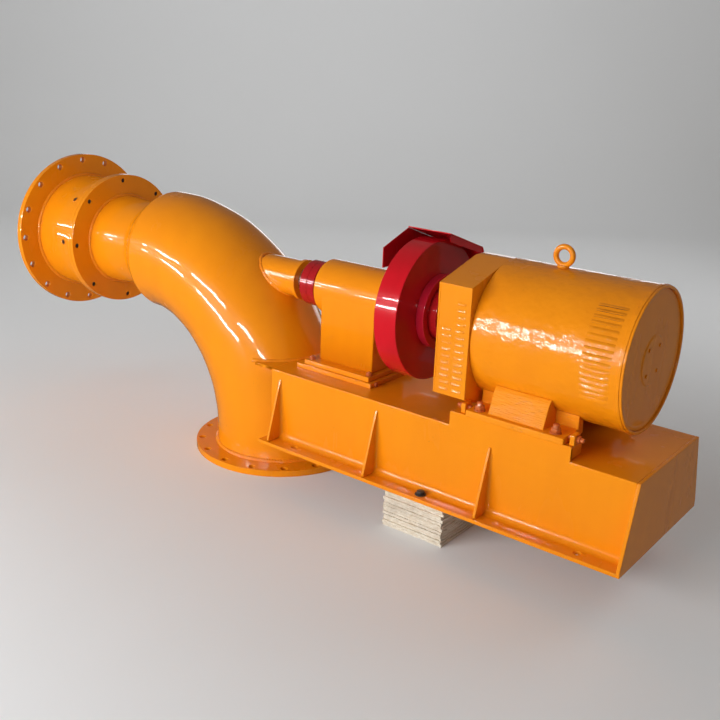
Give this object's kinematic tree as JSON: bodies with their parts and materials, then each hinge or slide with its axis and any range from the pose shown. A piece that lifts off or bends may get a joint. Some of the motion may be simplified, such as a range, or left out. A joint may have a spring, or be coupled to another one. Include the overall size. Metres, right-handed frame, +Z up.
{
  "type": "micro hydro generator",
  "caption": "Horizontal axial tubular water turbine with a bent draft tube, bearing, flywheel and alternator on a welded base.",
  "frame": {"origin": "on the floor, under the middle of the overall length and width", "axes": "+X along the shaft from the water inlet to the alternator, +Y across to the side where the hood comes down, +Z up"},
  "size_m": [2.93, 0.7, 1.07],
  "materials": {
    "orange_paint": "gloss orange enamel",
    "red_paint": "gloss red enamel",
    "steel": "turned and oiled",
    "core_iron": "varnished laminations",
    "timber": "rough sawn sheets"
  },
  "bodies": {
    "set": {"inlet_flange": "orange_paint", "runner_chamber": "orange_paint", "chamber_flange": "orange_paint", "guide_vane_hub": "orange_paint", "hub_nose": "orange_paint", "draft_flange": "orange_paint", "draft_neck": "orange_paint", "draft_cone": "orange_paint", "bend_piece_1": "orange_paint", "bend_piece_2": "orange_paint", "bend_piece_3": "orange_paint", "bend_piece_4": "orange_paint", "bend_piece_5": "orange_paint", "bend_piece_6": "orange_paint", "bend_piece_7": "orange_paint", "outlet_flange": "orange_paint", "shaft_boss": "orange_paint", "bearing_housing": "orange_paint", "bearing_pedestal": "orange_paint", "pedestal_foot": "orange_paint", "sole_plate": "orange_paint", "base_side_near": "orange_paint", "base_side_far": "orange_paint", "base_flange_near": "orange_paint", "base_flange_far": "orange_paint", "base_top": "orange_paint", "base_end_left": "orange_paint", "base_end_right": "orange_paint", "gusset_near_1": "orange_paint", "gusset_near_2": "orange_paint", "gusset_near_3": "orange_paint", "gusset_far_1": "orange_paint", "gusset_far_2": "orange_paint", "gusset_far_3": "orange_paint", "alternator_pad_near": "orange_paint", "alternator_pad_far": "orange_paint", "alternator_body": "orange_paint", "alternator_end_shield": "orange_paint", "alternator_drive_shield": "orange_paint", "alternator_shroud": "orange_paint", "shroud_end_plate": "orange_paint", "alternator_foot_near": "orange_paint", "alternator_foot_far": "orange_paint", "lifting_eye": "orange_paint", "flywheel_hood": "red_paint", "hood_end_plate": "red_paint", "gland_ring": "steel", "packing_stack": "timber"},
    "rotor": {"turbine_shaft": "steel", "runner": "steel", "coupling_half_left": "red_paint", "coupling_half_right": "red_paint", "bearing_shaft": "steel", "flywheel": "red_paint", "drive_coupling_disc": "red_paint", "drive_coupling_hub": "red_paint", "alternator_shaft": "steel", "alternator_rotor_core": "core_iron"}
  },
  "joints": [
    {"name": "shaft_spin", "type": "hinge", "parent": "set", "child": "rotor", "pos_m": [0.5, 0, 0.72], "axis": [1, 0, 0], "continuous": true}
  ]
}
